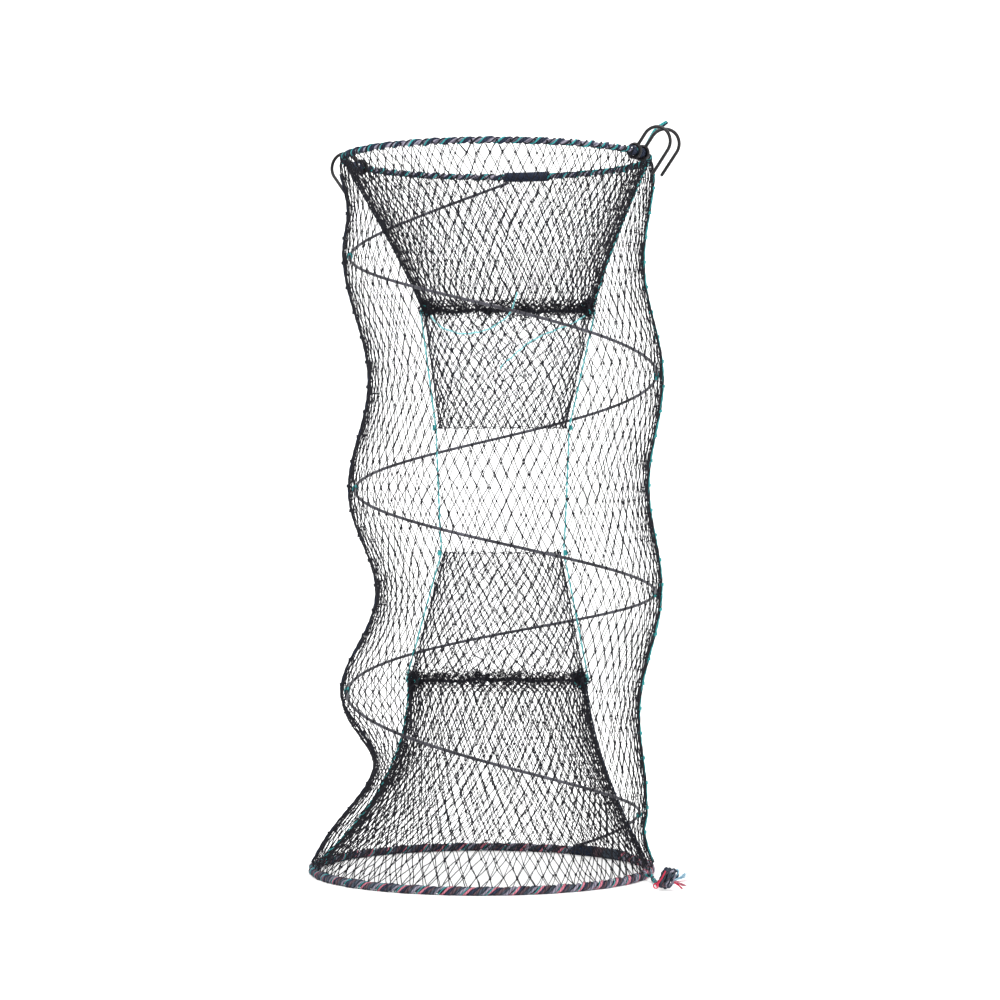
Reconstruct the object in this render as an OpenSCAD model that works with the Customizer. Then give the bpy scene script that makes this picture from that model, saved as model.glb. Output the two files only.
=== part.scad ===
// Folding crab trap: a coiled wire between two rings holds a tube of knotted netting open.
// A net funnel leads in from each ring to a flat throat, and a sleeve hangs on behind each
// throat. Two long cords pull the throats and sleeves taut against each other. Pressing the top
// ring down folds the coil flat, and the hooks on the top ring then catch the bottom ring.
// Millimetres. Origin: on the floor, under the middle. +Z up, front is -Y, +X to the right.

/* [Rings] */
// Height of the top ring's wire above the floor
top_ring_z = 546; // [440:1:640]
// Diameter of the top ring, along the middle of its wire
top_ring_d = 234; // [228:1:240]
// Diameter of the bottom ring, along the middle of its wire
bottom_ring_d = 258; // [254:1:264]
// How far the bottom ring's centre sits to the left of the top ring's
lean = 11; // [0:1:16]
// Thickness of the ring wire
ring_wire_d = 2.6; // [2:0.1:3]
// Thickness of the cord wrapping on the top ring, with the ring inside it
top_wrap_d = 5.6; // [5:0.1:6]
// Thickness of the cord wrapping on the bottom ring, with the ring inside it
bottom_wrap_d = 6.8; // [6:0.1:7.4]

/* [Coil] */
// Diameter of the coil, along the middle of its wire
coil_d = 232; // [228:1:240]
// Thickness of the coil wire
coil_wire_d = 2.4; // [2:0.1:2.8]
// How far the coil bows to the right between the rings
coil_bow = 9; // [0:1:12]

/* [Netting] */
// Thickness of the netting's walls
net_t = 0.8; // [0.6:0.1:1]
// How deep the netting sinks in between two turns, as a share of their distance
waist_share = 0.07; // [0:0.01:0.1]
// How much deeper it sinks at the lower left
slack_left = 3; // [0:0.5:4]
// How far up the lowest waist sits: 1 is halfway between the bottom ring and the coil
waist_rise = 1.35; // [1:0.05:1.6]

/* [Throats] */
// Height of the top throat
top_throat_z = 430; // [420:1:440]
// Width of the top throat
top_throat_w = 128; // [110:1:136]
// Height of the mouth of the top sleeve
top_mouth_z = 340; // [330:1:350]
// Width of the mouth of the top sleeve
top_mouth_w = 100; // [80:1:106]
// Height of the mouth of the bottom sleeve
bottom_mouth_z = 245; // [235:1:255]
// Width of the mouth of the bottom sleeve
bottom_mouth_w = 92; // [80:1:100]
// Height of the bottom throat
bottom_throat_z = 147; // [137:1:157]
// Width of the bottom throat
bottom_throat_w = 134; // [110:1:140]
// Thickness of a throat, from its front wall to its back wall
throat_t = 8; // [7:0.5:12]

/* [Cords] */
// Thickness of the cords that gather the throats
gather_d = 2.6; // [2:0.1:3]
// Thickness of the cords that pull the throats taut
tension_d = 1.2; // [1:0.1:1.4]
// Thickness of the lacing and of the funnels' edge cords
lacing_d = 1.8; // [1.4:0.1:2]
// Thickness of the bottom ring's loose end
tail_d = 3.2; // [2.4:0.1:3.4]

/* [Hooks] */
// Thickness of the hook wire
hook_wire_d = 2.6; // [2:0.1:2.8]
// Radius of a hook's eye, along the middle of its wire
hook_eye_r = 5; // [4.8:0.1:5.2]
// Length from the middle of a right hook's eye to the start of its bend
hook_shank = 15; // [13:0.5:16]
// The same length on the left hook
hook_shank_left = 9; // [8:0.5:15]
// Radius of the bend, along the middle of its wire
hook_bend_r = 11.4; // [11:0.1:12]
// Length of the straight leg after the bend
hook_leg = 20; // [15:1:22]

/* [Hidden] */

$fn = 48;

clear = 0.4;           // gap between soft pieces that move apart
foot_flat = 0.4;       // how far the bottom wrapping is pressed flat where it stands
lash_t = 1.3;          // how far a lashing stands out of the wrapping it is wound on
eye_reach = 7;         // space kept below the top ring for the eyes of the hooks
round_sides = 8;       // sides of a swept cord or wire

top_r = top_ring_d / 2;
bottom_r = bottom_ring_d / 2;
bottom_ring_z = bottom_wrap_d / 2 - foot_flat;
coil_r = coil_d / 2;
hook_r = hook_wire_d / 2;

// Direction in which each hook's eye sits on the top ring, how steeply its shank rises, and the
// shank's length: the left hook, the right one and the one in front of it
hook_places = [
    [155, 53, hook_shank_left],
    [-20.5, 55, hook_shank],
    [-28, 54, hook_shank],
];

// The coil wire: turned angle from +X, seen from above, and height there. It starts on the back
// of the top ring, passes the left and right sides in turn and ends on the back of the bottom ring.
coil_path = [
    [85, top_ring_z - top_wrap_d / 2 - coil_wire_d / 2 - clear], [180, 472], [360, 380],
    [540, 294], [720, 213], [900, 139], [1080, 44],
    [1133, bottom_ring_z + bottom_wrap_d / 2 + coil_wire_d / 2 + clear],
];
coil_step = 6;         // degrees between the swept sections of the coil
coil_lead = 50;        // degrees over which each end of the coil runs out to its ring

// Loose cord ends, from where they leave the trap. Round numbers, chosen by hand.
top_tail_route = [
    [111, -31, 551], [114, -32, 554], [116, -33, 557], [118, -34, 560],
    [120, -35, 563], [123, -36, 566], [126, -36, 568], [129, -37, 570],
];
bottom_tail_route = [
    [112, -46, 3], [114, -49, 4], [116, -52, 4], [117, -55, 3], [117, -59, 2], [118, -63, 2],
    [118, -67, 2], [118, -71, 2], [119, -75, 2], [119, -79, 2], [119, -82, 2], [120, -85, 2],
    [120, -88, 3], [121, -91, 4], [121, -94, 5], [121, -97, 5],
];
throat_tail_left_route = [
    [-50, -6, 426], [-48, -6, 423], [-46, -7, 421], [-43, -7, 418], [-40, -8, 416],
    [-37, -8, 415], [-34, -9, 414], [-31, -9, 413], [-28, -10, 412], [-24, -10, 412],
    [-20, -10, 412], [-16, -10, 413], [-13, -11, 413], [-10, -11, 414], [-7, -11, 415],
    [-4, -12, 416], [-1, -12, 418], [2, -12, 420], [5, -12, 422], [8, -13, 424],
    [10, -13, 427], [12, -14, 430], [13, -14, 433], [14, -15, 436], [15, -16, 439],
    [16, -18, 443],
];
throat_tail_right_route = [
    [68, -6, 426], [65, -6, 424], [62, -7, 422], [58, -7, 420], [54, -8, 418],
    [51, -9, 417], [48, -10, 416], [44, -10, 414], [41, -11, 413], [38, -11, 412],
    [34, -11, 410], [31, -11, 408], [28, -11, 407], [25, -11, 405], [22, -11, 403],
    [19, -11, 400], [16, -11, 398], [14, -11, 396], [11, -11, 393], [8, -11, 391],
    [6, -11, 389], [4, -10, 387], [3, -10, 385],
];

// Colours
wire_grey = "#3c3f45";
twine_black = "#23262b";
twine_teal = "#2f8f92";
cord_navy = "#27303f";
cord_pink = "#9b6a76";
tie_red = "#b8405a";
hook_black = "#1b1c1f";

// ---------------------------------------------------------------- functions

function unit(v) = v / norm(v);
function mix(a, b, t) = a + (b - a) * t;
function clamp01(t) = max(0, min(1, t));

// Middle of the trap at height z
function axis_x(z) =
    let (s = clamp01(z / top_ring_z))
    coil_bow * sin(180 * s) - lean * pow(1 - s, 3);

// Height of the coil wire after it has turned through angle a, smooth through coil_path
function path_slope(k) =
    let (a = max(0, k - 1), b = min(len(coil_path) - 1, k + 1))
    (coil_path[b][1] - coil_path[a][1]) / (coil_path[b][0] - coil_path[a][0]);
function hermite(z0, z1, m0, m1, t) =
    (2 * t * t * t - 3 * t * t + 1) * z0 + (t * t * t - 2 * t * t + t) * m0
    + (3 * t * t - 2 * t * t * t) * z1 + (t * t * t - t * t) * m1;
function coil_z(a) =
    let (
        k = max([for (i = [0:len(coil_path) - 2]) if (coil_path[i][0] <= a) i]),
        a0 = coil_path[k][0],
        w = coil_path[k + 1][0] - a0
    )
    hermite(coil_path[k][1], coil_path[k + 1][1], path_slope(k) * w, path_slope(k + 1) * w,
            (a - a0) / w);
function coil_first() = coil_path[0][0];
function coil_last() = coil_path[len(coil_path) - 1][0];
function coil_radius(a) =
    coil_r + (top_r - coil_r) * pow(clamp01(1 - (a - coil_first()) / coil_lead), 2)
    + (bottom_r - 2 - coil_r) * pow(clamp01(1 - (coil_last() - a) / coil_lead), 2);
function coil_point(a) =
    let (z = coil_z(a))
    [axis_x(z) + coil_radius(a) * cos(a), coil_radius(a) * sin(a), z];

// Heights at which something holds the netting out, in direction a (0 to 360)
function held_heights(a) = [
    bottom_ring_z, top_ring_z,
    for (k = [0:3]) if (a + 360 * k > coil_first() && a + 360 * k < coil_last())
        coil_z(a + 360 * k)
];
// Inner radius of the outer netting: out over the rings and the coil, sunk in between them
function held_radius(z) =
    mix(coil_r + coil_wire_d / 2 + 2.6, top_r + top_wrap_d / 2 + clear, pow(z / top_ring_z, 8))
    + (bottom_r + bottom_wrap_d / 2 - coil_r - coil_wire_d / 2 - 2.2)
      * pow(clamp01(1 - z / 60), 2);
function net_radius(a, z) =
    let (
        held = held_heights((a + 360) % 360),
        low = max([for (h = held) if (h <= z + 0.01) h]),
        high = min([for (h = held) if (h >= z - 0.01) h]),
        span = high - low,
        slack = 1 + slack_left * max(0, -cos(a)) * pow(1 - z / top_ring_z, 2),
        rise = low <= bottom_ring_z ? waist_rise : 1,
        t = span > 1 ? pow(clamp01((z - low) / span), rise) : 0
    )
    held_radius(z) - waist_share * span * slack * pow(sin(180 * t), 2);

// One level of a funnel or sleeve: an oval loop of points, half sizes a and b, round x = cx
function oval(cx, a, b, z, n) =
    [for (i = [0:n - 1]) [cx + a * cos(360 * i / n), b * sin(360 * i / n), z]];

function flat(rows) = [for (row = rows) each row];
function quad(a, b, c, d) = [[a, b, c], [a, c, d]];

// ---------------------------------------------------------------- shared shapes

// A thin wall between two grids of points, with its columns closed into a loop or left open
module wall(outer, inner, closed = true) {
    rows = len(outer);
    cols = len(outer[0]);
    n = rows * cols;
    steps = closed ? cols : cols - 1;
    top = (rows - 1) * cols;
    faces = flat(concat(
        [for (j = [0:rows - 2], i = [0:steps - 1])
            let (k = (i + 1) % cols, a = j * cols, b = a + cols)
            quad(a + i, b + i, b + k, a + k)],
        [for (j = [0:rows - 2], i = [0:steps - 1])
            let (k = (i + 1) % cols, a = n + j * cols, b = a + cols)
            quad(b + i, a + i, a + k, b + k)],
        [for (i = [0:steps - 1]) let (k = (i + 1) % cols) quad(n + i, i, k, n + k)],
        [for (i = [0:steps - 1])
            let (k = (i + 1) % cols)
            quad(top + i, n + top + i, n + top + k, top + k)],
        closed ? [] : [for (j = [0:rows - 2])
            let (a = j * cols, b = a + cols)
            quad(n + a, n + b, b, a)],
        closed ? [] : [for (j = [0:rows - 2])
            let (a = j * cols + cols - 1, b = a + cols)
            quad(a, b, n + b, n + a)]
    ));
    polyhedron(points = concat(flat(outer), flat(inner)), faces = faces);
}

// A round cord or wire swept along points. up is any direction that the route never follows
module swept(route, d, up) {
    n = len(route);
    m = round_sides;
    rings = [for (j = [0:n - 1])
        let (
            t = unit(route[min(n - 1, j + 1)] - route[max(0, j - 1)]),
            u = unit(cross(t, up)),
            v = cross(t, u)
        )
        [for (i = [0:m - 1]) route[j] + d / 2 * (u * cos(360 * i / m) + v * sin(360 * i / m))]];
    sides = flat([for (j = [0:n - 2], i = [0:m - 1])
        let (k = (i + 1) % m, a = j * m, b = a + m)
        quad(a + i, b + i, b + k, a + k)]);
    ends = [
        [for (i = [0:m - 1]) i],
        [for (i = [m - 1:-1:0]) (n - 1) * m + i],
    ];
    polyhedron(points = flat(rings), faces = concat(sides, ends));
}

// A ring of round section lying flat, or the part of it from one direction to another
module ring(r, d, from = 0, to = 360) {
    rotate([0, 0, from]) rotate_extrude(angle = to - from) translate([r, 0]) circle(d = d);
}

// A sleeve of cord wound on a ring: outer and inner thickness, from one direction to another
module ring_sleeve(r, d_out, d_in, from = 0, to = 360) {
    rotate([0, 0, from]) rotate_extrude(angle = to - from) translate([r, 0]) difference() {
        circle(d = d_out);
        circle(d = d_in);
    }
}

// Cord drawn round a flat opening: a long loop, w between its ends' middles, t across
module flat_loop(cx, w, t, d, z) {
    for (side = [-1, 1]) {
        translate([cx - w / 2, side * t / 2, z]) rotate([0, 90, 0]) cylinder(d = d, h = w);
        translate([cx + side * w / 2, 0, z]) rotate([0, 0, side * 90 - 180])
            rotate_extrude(angle = 180) translate([t / 2, 0]) circle(d = d);
    }
}

// A knot tied round a cord that runs along direction dir: turns side by side, open in the middle
module knot(place, dir, d_hole, d, turns) {
    a = acos(unit(dir)[2]);
    b = atan2(dir[1], dir[0]);
    translate(place) rotate([0, a, b])
        for (k = [0:turns - 1]) translate([0, 0, (k - (turns - 1) / 2) * d * 0.9])
            rotate_extrude() translate([d_hole / 2 + d / 2, 0]) circle(d = d);
}

// ---------------------------------------------------------------- rings and coil

module bottom_ring_wire() {
    color(wire_grey) translate([-lean, 0, bottom_ring_z]) ring(bottom_r, ring_wire_d);
}

module bottom_rim_wrap() {
    color(cord_pink) difference() {
        translate([-lean, 0, bottom_ring_z])
            ring_sleeve(bottom_r, bottom_wrap_d, ring_wire_d);
        translate([-lean - 200, -200, -10]) cube([400, 400, 10]);
    }
}

module bottom_ring_lashing() {
    end = coil_last() % 360;
    color(cord_navy) translate([-lean, 0, bottom_ring_z]) difference() {
        ring_sleeve(bottom_r, bottom_wrap_d + 2 * lash_t, bottom_wrap_d, end - 20, end - 8);
        translate([-200, -200, -20 - bottom_ring_z]) cube([400, 400, 20]);
    }
}

module coil_spring_wire() {
    steps = ceil((coil_last() - coil_first()) / coil_step);
    turn = (coil_last() - coil_first()) / steps;
    color(wire_grey)
        swept([for (k = [0:steps]) coil_point(min(coil_last() - 0.01, coil_first() + k * turn))],
              coil_wire_d, [0, 0, 1]);
}

module top_ring_wire() {
    color(wire_grey) translate([0, 0, top_ring_z]) ring(top_r, ring_wire_d);
}

module top_rim_wrap() {
    color(cord_navy) translate([0, 0, top_ring_z]) ring_sleeve(top_r, top_wrap_d, ring_wire_d);
}

module top_ring_lashing() {
    color(cord_navy) translate([0, 0, top_ring_z])
        ring_sleeve(top_r, top_wrap_d + 2 * lash_t, top_wrap_d,
                    coil_first() - 16, coil_first() - 6);
}

// ---------------------------------------------------------------- outer netting

net_rows = 28;
net_cols = 20;
seam_gap = 0.7;        // degrees left free at each side seam
net_low = bottom_ring_z + bottom_wrap_d / 2 + lash_t + clear;
net_high = top_ring_z - eye_reach;

function net_grid(from, to, inset) = [for (j = [0:net_rows])
    let (z = mix(net_low, net_high, j / net_rows))
    [for (i = [0:net_cols])
        let (a = mix(from, to, i / net_cols), r = net_radius(a, z) + net_t - inset)
        [axis_x(z) + r * cos(a), r * sin(a), z]]];

module outer_net_front() {
    color(twine_black)
        wall(net_grid(180 + seam_gap, 360 - seam_gap, 0),
             net_grid(180 + seam_gap, 360 - seam_gap, net_t), closed = false);
}

module outer_net_back() {
    color(twine_black)
        wall(net_grid(seam_gap, 180 - seam_gap, 0),
             net_grid(seam_gap, 180 - seam_gap, net_t), closed = false);
}

lacing_rows = 26;

module side_lacing(a, shade) {
    route = [for (j = [0:lacing_rows])
        let (z = mix(net_low, net_high, j / lacing_rows), r = net_radius(a, z) + net_t + clear + lacing_d)
        [axis_x(z) + r * cos(a), 0, z]];
    color(shade) swept(route, lacing_d, [0, 1, 0]);
}

module side_lacing_left() { side_lacing(180, cord_navy); }
module side_lacing_right() { side_lacing(0, twine_teal); }

tie_d = 0.9;

// Cord rings that hold the coil's turns where they pass the two side seams
module coil_ties() {
    color(twine_teal) for (k = [1:len(coil_path) - 2]) {
        a = coil_path[k][0];
        knot(coil_point(a), coil_point(a + 2) - coil_point(a - 2),
             coil_wire_d + 2 * clear, tie_d, 1);
    }
}

// ---------------------------------------------------------------- funnels, sleeves and cords

funnel_cols = 28;
funnel_rows = 6;
sleeve_rows = 4;
throat_gap = 2.6;      // space left for the gathering cord above and below its middle
edge_out = 2;          // how far an edge cord's middle stands outside the funnel's edge

top_throat_x = 9;
top_mouth_x = 5;
bottom_mouth_x = 5;
bottom_throat_x = 1;

// Half width, middle and thickness of each funnel from its ring (t = 0) to its throat (t = 1)
top_funnel_low = top_throat_z + throat_gap;
top_funnel_high = top_ring_z - eye_reach;
function top_funnel_a(t) =
    mix(top_throat_w / 2, top_r - top_wrap_d / 2 - 1, pow(1 - t, 1.15));
function top_funnel_b(t) = mix(top_r - top_wrap_d / 2 - 1, throat_t / 2, t);
function top_funnel_x(t) = top_throat_x * t;
function top_funnel_z(t) = mix(top_funnel_high, top_funnel_low, t);

bottom_funnel_low = bottom_ring_z + bottom_wrap_d / 2 + clear;
bottom_funnel_high = bottom_throat_z - throat_gap;
bottom_funnel_r = bottom_r - bottom_wrap_d / 2 - 3;
function bottom_funnel_left(t) =
    mix(bottom_throat_x - bottom_throat_w / 2, -lean - bottom_funnel_r, pow(1 - t, 2.2));
function bottom_funnel_right(t) =
    mix(bottom_throat_x + bottom_throat_w / 2, -lean + bottom_funnel_r, pow(1 - t, 1.6));
function bottom_funnel_a(t) = (bottom_funnel_right(t) - bottom_funnel_left(t)) / 2;
function bottom_funnel_b(t) = mix(bottom_funnel_r, throat_t / 2, t);
function bottom_funnel_x(t) = (bottom_funnel_right(t) + bottom_funnel_left(t)) / 2;
function bottom_funnel_z(t) = mix(bottom_funnel_low, bottom_funnel_high, t);

module top_funnel_net() {
    color(twine_black) wall(
        [for (j = [0:funnel_rows]) let (t = 1 - j / funnel_rows)
            oval(top_funnel_x(t), top_funnel_a(t), top_funnel_b(t), top_funnel_z(t),
                 funnel_cols)],
        [for (j = [0:funnel_rows]) let (t = 1 - j / funnel_rows)
            oval(top_funnel_x(t), top_funnel_a(t) - net_t, top_funnel_b(t) - net_t,
                 top_funnel_z(t), funnel_cols)]);
}

module bottom_funnel_net() {
    color(twine_black) wall(
        [for (j = [0:funnel_rows]) let (t = j / funnel_rows)
            oval(bottom_funnel_x(t), bottom_funnel_a(t), bottom_funnel_b(t),
                 bottom_funnel_z(t), funnel_cols)],
        [for (j = [0:funnel_rows]) let (t = j / funnel_rows)
            oval(bottom_funnel_x(t), bottom_funnel_a(t) - net_t, bottom_funnel_b(t) - net_t,
                 bottom_funnel_z(t), funnel_cols)]);
}

sleeve_belly = 3;      // how far a sleeve's walls belly out between throat and mouth

// A flat sleeve between a throat and a mouth, given from its lower end to its upper end
module sleeve(x0, w0, z0, x1, w1, z1) {
    function level(t, inset) =
        oval(mix(x0, x1, t), mix(w0, w1, t) / 2 - inset,
             throat_t / 2 + sleeve_belly * sin(180 * t) - inset, mix(z0, z1, t), funnel_cols);
    wall([for (j = [0:sleeve_rows]) level(j / sleeve_rows, 0)],
         [for (j = [0:sleeve_rows]) level(j / sleeve_rows, net_t)]);
}

module top_sleeve_net() {
    color(twine_black)
        sleeve(top_mouth_x, top_mouth_w, top_mouth_z + throat_gap,
               top_throat_x, top_throat_w, top_throat_z - throat_gap);
}

module bottom_sleeve_net() {
    color(twine_black)
        sleeve(bottom_throat_x, bottom_throat_w, bottom_throat_z + throat_gap,
               bottom_mouth_x, bottom_mouth_w, bottom_mouth_z - throat_gap);
}

edge_rows = 8;

module top_funnel_edge(side, shade) {
    color(shade) swept(
        [for (j = [0:edge_rows]) let (t = mix(0.04, 0.97, 1 - j / edge_rows))
            [top_funnel_x(t) + side * (top_funnel_a(t) + edge_out), 0, top_funnel_z(t)]],
        lacing_d, [0, 1, 0]);
}

module bottom_funnel_edge(side, shade) {
    color(shade) swept(
        [for (j = [0:edge_rows]) let (t = mix(0.06, 0.97, j / edge_rows))
            [bottom_funnel_x(t) + side * (bottom_funnel_a(t) + edge_out), 0,
             bottom_funnel_z(t)]],
        lacing_d, [0, 1, 0]);
}

module top_funnel_edge_left() { top_funnel_edge(-1, twine_black); }
module top_funnel_edge_right() { top_funnel_edge(1, twine_teal); }
module bottom_funnel_edge_left() { bottom_funnel_edge(-1, twine_teal); }
module bottom_funnel_edge_right() { bottom_funnel_edge(1, twine_black); }

// Where the tension cord runs on each side (side is -1 or 1): down the edge of the top sleeve,
// across to the bottom sleeve and down its edge
cord_out = 2.2;        // how far the cord's middle stands outside a sleeve's edge
tension_stops = [
    [bottom_throat_z + throat_gap, bottom_throat_x, bottom_throat_w],
    [bottom_mouth_z, bottom_mouth_x, bottom_mouth_w],
    [top_mouth_z, top_mouth_x, top_mouth_w],
    [top_throat_z - throat_gap, top_throat_x, top_throat_w],
];
function tension_point(side, stop) = [stop[1] + side * (stop[2] / 2 + cord_out), 0, stop[0]];
tension_rows = 4;      // stretches between two stops

module tension_cord(side) {
    p = [for (stop = tension_stops) tension_point(side, stop)];
    color(twine_teal) swept(
        concat([for (k = [0:2], j = [0:tension_rows - 1]) mix(p[k], p[k + 1], j / tension_rows)],
               [p[3]]),
        tension_d, [0, 1, 0]);
}

module tension_cord_left() { tension_cord(-1); }
module tension_cord_right() { tension_cord(1); }

// The cord that gathers a throat's meshes, and the knots at its two ends
module throat_gather(cx, w, z) {
    color(twine_black) flat_loop(cx, w - throat_t, throat_t, gather_d, z);
}

module throat_knots(cx, w, z) {
    color(twine_teal) for (side = [-1, 1])
        knot([cx + side * w / 2, 0, z], [0, 1, 0], gather_d + 0.2, 1.4, 2);
}

module top_throat_gather() { throat_gather(top_throat_x, top_throat_w, top_throat_z); }
module top_throat_knots() { throat_knots(top_throat_x, top_throat_w, top_throat_z); }
module bottom_throat_gather() { throat_gather(bottom_throat_x, bottom_throat_w, bottom_throat_z); }
module bottom_throat_knots() { throat_knots(bottom_throat_x, bottom_throat_w, bottom_throat_z); }

line_d = 1.2;          // thickness of the line through a sleeve's last meshes
line_short = 2;        // how much narrower that line is than its sleeve
mouth_knot_d = 1.2;

module mouth_line(cx, w, z) {
    color(twine_black) flat_loop(cx, w - line_short - throat_t, throat_t, line_d, z);
}

// Knots round the tension cords at the corners of a sleeve's mouth
module mouth_knots(stop) {
    color(twine_teal) for (side = [-1, 1])
        knot(tension_point(side, stop), [0, 0, 1], tension_d + 2 * clear, mouth_knot_d, 2);
}

mouth_line_up = 0.4;   // the mouth's line lies this far from its nominal height
module top_mouth_line() { mouth_line(top_mouth_x, top_mouth_w, top_mouth_z + mouth_line_up); }
module top_mouth_knots() { mouth_knots(tension_stops[2]); }
module bottom_mouth_line() {
    mouth_line(bottom_mouth_x, bottom_mouth_w, bottom_mouth_z - mouth_line_up);
}
module bottom_mouth_knots() { mouth_knots(tension_stops[1]); }

// ---------------------------------------------------------------- loose ends

module throat_tail_left() {
    color(twine_teal) swept(throat_tail_left_route, tension_d, [0, 1, 0]);
}
module throat_tail_right() {
    color(twine_teal) swept(throat_tail_right_route, tension_d, [0, 1, 0]);
}
module top_tail_cord() { color(cord_navy) swept(top_tail_route, 3, [0, 1, 0]); }
module bottom_tail_cord() { color(cord_pink) swept(bottom_tail_route, tail_d, [0, 0, 1]); }

// The hank at the loose end: a leaning outline with round ends, which its loops fill. The cord
// meets its back face.
hank_w = 13;
hank_h = 17.6;
hank_depth = 9.6;
hank_lean = 14;
hank_end = (hank_h - hank_w) / 2;
hank_z = hank_end * cos(hank_lean) + hank_w / 2 + 0.1;

module bottom_tail_knot() {
    last = bottom_tail_route[len(bottom_tail_route) - 1];
    color(cord_pink) translate([last[0] + 5, last[1], hank_z]) rotate([90, 0, 0])
        linear_extrude(hank_depth) rotate(-hank_lean) {
            square([hank_w, 2 * hank_end], center = true);
            for (s = [-1, 1]) translate([0, s * hank_end]) circle(d = hank_w);
        }
}

module bottom_tail_tie() {
    k = 13;
    along = bottom_tail_route[k + 1] - bottom_tail_route[k - 1];
    color(tie_red) knot(bottom_tail_route[k], along, tail_d + clear, 1, 1);
}

// ---------------------------------------------------------------- hooks

// One hook, at the origin: its eye round the Y axis, the shank along +X, the bend and the leg
module hook_shape(shank) {
    color(hook_black) {
        rotate([90, 0, 0]) rotate_extrude() translate([hook_eye_r, 0]) circle(r = hook_r);
        translate([hook_eye_r, 0, 0]) rotate([0, 90, 0])
            cylinder(r = hook_r, h = shank - hook_eye_r);
        translate([shank, 0, -hook_bend_r]) rotate([90, 0, 0]) rotate([0, 0, -90])
            rotate_extrude(angle = 180) translate([hook_bend_r, 0]) circle(r = hook_r);
        translate([shank - hook_leg, 0, -2 * hook_bend_r]) rotate([0, 90, 0])
            cylinder(r = hook_r, h = hook_leg);
        translate([shank - hook_leg, 0, -2 * hook_bend_r]) sphere(r = hook_r);
    }
}

module hook(place) {
    rotate([0, 0, place[0]]) translate([top_r, 0, top_ring_z])
        rotate([0, -place[1], 0]) hook_shape(place[2]);
}

module hook_left() { hook(hook_places[0]); }
module hook_right() { hook(hook_places[1]); }
module hook_front_right() { hook(hook_places[2]); }

// Cord wound on the top ring at both sides of each hook's eye, so that it stays in its place
module hook_lashings() {
    gap = 1.2;         // degrees from the eye's middle to the lashing
    reach = 3.2;
    color(cord_navy) translate([0, 0, top_ring_z]) for (place = hook_places, side = [-1, 1]) {
        a = place[0] + side * gap;
        b = place[0] + side * reach;
        ring_sleeve(top_r, top_wrap_d + 2 * lash_t, top_wrap_d, min(a, b), max(a, b));
    }
}

// ---------------------------------------------------------------- the nodes

bottom_ring_wire();
bottom_rim_wrap();
bottom_ring_lashing();
coil_spring_wire();
outer_net_front();
outer_net_back();
side_lacing_left();
side_lacing_right();
coil_ties();
top_funnel_net();
top_sleeve_net();
bottom_funnel_net();
bottom_sleeve_net();
top_funnel_edge_left();
top_funnel_edge_right();
bottom_funnel_edge_left();
bottom_funnel_edge_right();
tension_cord_left();
tension_cord_right();
bottom_tail_cord();
bottom_tail_knot();
bottom_tail_tie();
top_ring_wire();
top_rim_wrap();
top_ring_lashing();
hook_lashings();
top_tail_cord();
hook_left();
hook_right();
hook_front_right();
top_throat_gather();
top_throat_knots();
throat_tail_left();
throat_tail_right();
top_mouth_line();
top_mouth_knots();
bottom_mouth_line();
bottom_mouth_knots();
bottom_throat_gather();
bottom_throat_knots();
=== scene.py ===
"""Looks for the folding crab trap: knotted netting, laid cords, wire, materials, light and camera.

Metres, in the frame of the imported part: +Z up, front is -Y, +X to the right. Rings, throats,
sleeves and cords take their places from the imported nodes. The netting follows the same formulas
as the part's own thin walls.
"""

import math

import bpy
import numpy as np
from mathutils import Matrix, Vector


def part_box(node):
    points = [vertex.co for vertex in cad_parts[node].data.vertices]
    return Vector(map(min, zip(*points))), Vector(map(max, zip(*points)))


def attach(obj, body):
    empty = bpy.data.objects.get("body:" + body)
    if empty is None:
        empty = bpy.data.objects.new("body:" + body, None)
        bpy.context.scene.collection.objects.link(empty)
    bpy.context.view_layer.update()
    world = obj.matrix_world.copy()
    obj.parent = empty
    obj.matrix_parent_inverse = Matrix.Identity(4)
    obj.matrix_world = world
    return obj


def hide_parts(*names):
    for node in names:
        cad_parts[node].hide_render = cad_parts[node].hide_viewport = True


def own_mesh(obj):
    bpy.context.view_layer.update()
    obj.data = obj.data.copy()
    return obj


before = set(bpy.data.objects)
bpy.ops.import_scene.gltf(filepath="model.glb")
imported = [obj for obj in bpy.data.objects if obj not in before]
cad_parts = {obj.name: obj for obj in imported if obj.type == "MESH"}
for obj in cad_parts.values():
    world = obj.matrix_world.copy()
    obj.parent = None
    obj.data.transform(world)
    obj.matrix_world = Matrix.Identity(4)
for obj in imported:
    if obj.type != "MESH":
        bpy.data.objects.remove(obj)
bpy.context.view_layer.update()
random = np.random.default_rng(11)

MM = 0.001

# ---------------------------------------------------------------- places read from the frame


def middle(node):
    low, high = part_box(node)
    return (low + high) / 2


def size(node):
    low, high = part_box(node)
    return high - low


RING_WIRE_R = size("top_ring_wire").z / 2
TOP_Z = middle("top_ring_wire").z
TOP_R = size("top_ring_wire").x / 2 - RING_WIRE_R
TOP_WRAP_R = size("top_rim_wrap").z / 2
BOTTOM_Z = middle("bottom_ring_wire").z
BOTTOM_R = size("bottom_ring_wire").x / 2 - RING_WIRE_R
BOTTOM_X = middle("bottom_ring_wire").x
BOTTOM_WRAP_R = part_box("bottom_rim_wrap")[1].z - BOTTOM_Z

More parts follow.
